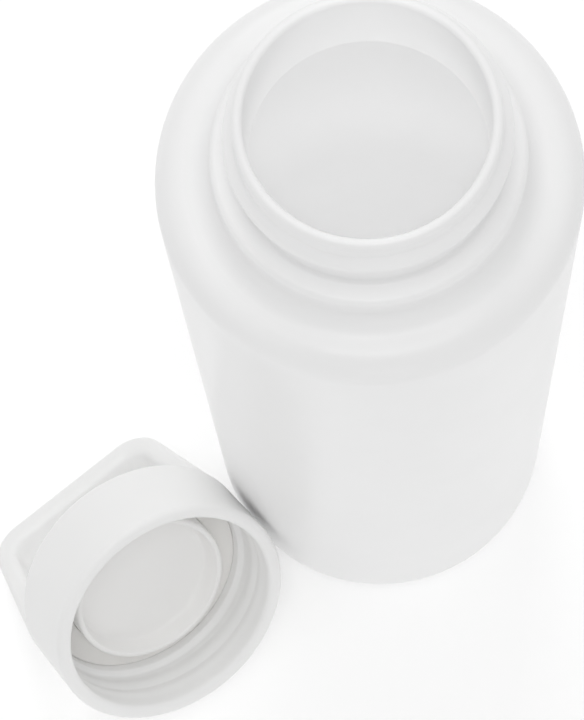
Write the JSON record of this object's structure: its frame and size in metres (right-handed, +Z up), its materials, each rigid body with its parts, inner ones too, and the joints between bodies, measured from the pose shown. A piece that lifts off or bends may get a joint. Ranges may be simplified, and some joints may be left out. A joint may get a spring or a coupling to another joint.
{
  "type": "wide-mouth screw-cap bottle",
  "caption": "Plain white double-walled bottle with a wide threaded neck, and its plug cap with a fixed carry loop lying open beside it.",
  "frame": {"origin": "centre of the bottle's foot, on the surface that it stands on", "axes": "+Z up the bottle's axis, out of its mouth; the cap lies towards -X and -Y"},
  "size_m": [0.1256, 0.0943, 0.2122],
  "materials": {
    "coat": "smooth white coat, semi gloss",
    "liner_coat": "smooth white coat",
    "cap_plastic": "satin white moulding",
    "plug_plastic": "satin off-white moulding",
    "core_foam": "foam, hidden",
    "seal_rubber": "satin silicone"
  },
  "bodies": {
    "bottle": {"outer_shell": "coat", "inner_liner": "liner_coat", "base_disc": "coat"},
    "seal": {"seal_ring": "seal_rubber"},
    "cap": {"cap_shell": "cap_plastic", "carry_loop": "cap_plastic", "plug_cup": "plug_plastic", "plug_core": "core_foam"}
  },
  "joints": [
    {"name": "cap_lift", "type": "slide", "parent": "bottle", "child": "seal", "axis": [0, 0, 1], "range_m": [0, 0.26]},
    {"name": "cap_turn", "type": "hinge", "parent": "seal", "child": "cap", "pos_m": [-0.05086, -0.03985, 0.03223], "axis": [-0.409, 0.7108, -0.5723], "continuous": true}
  ]
}
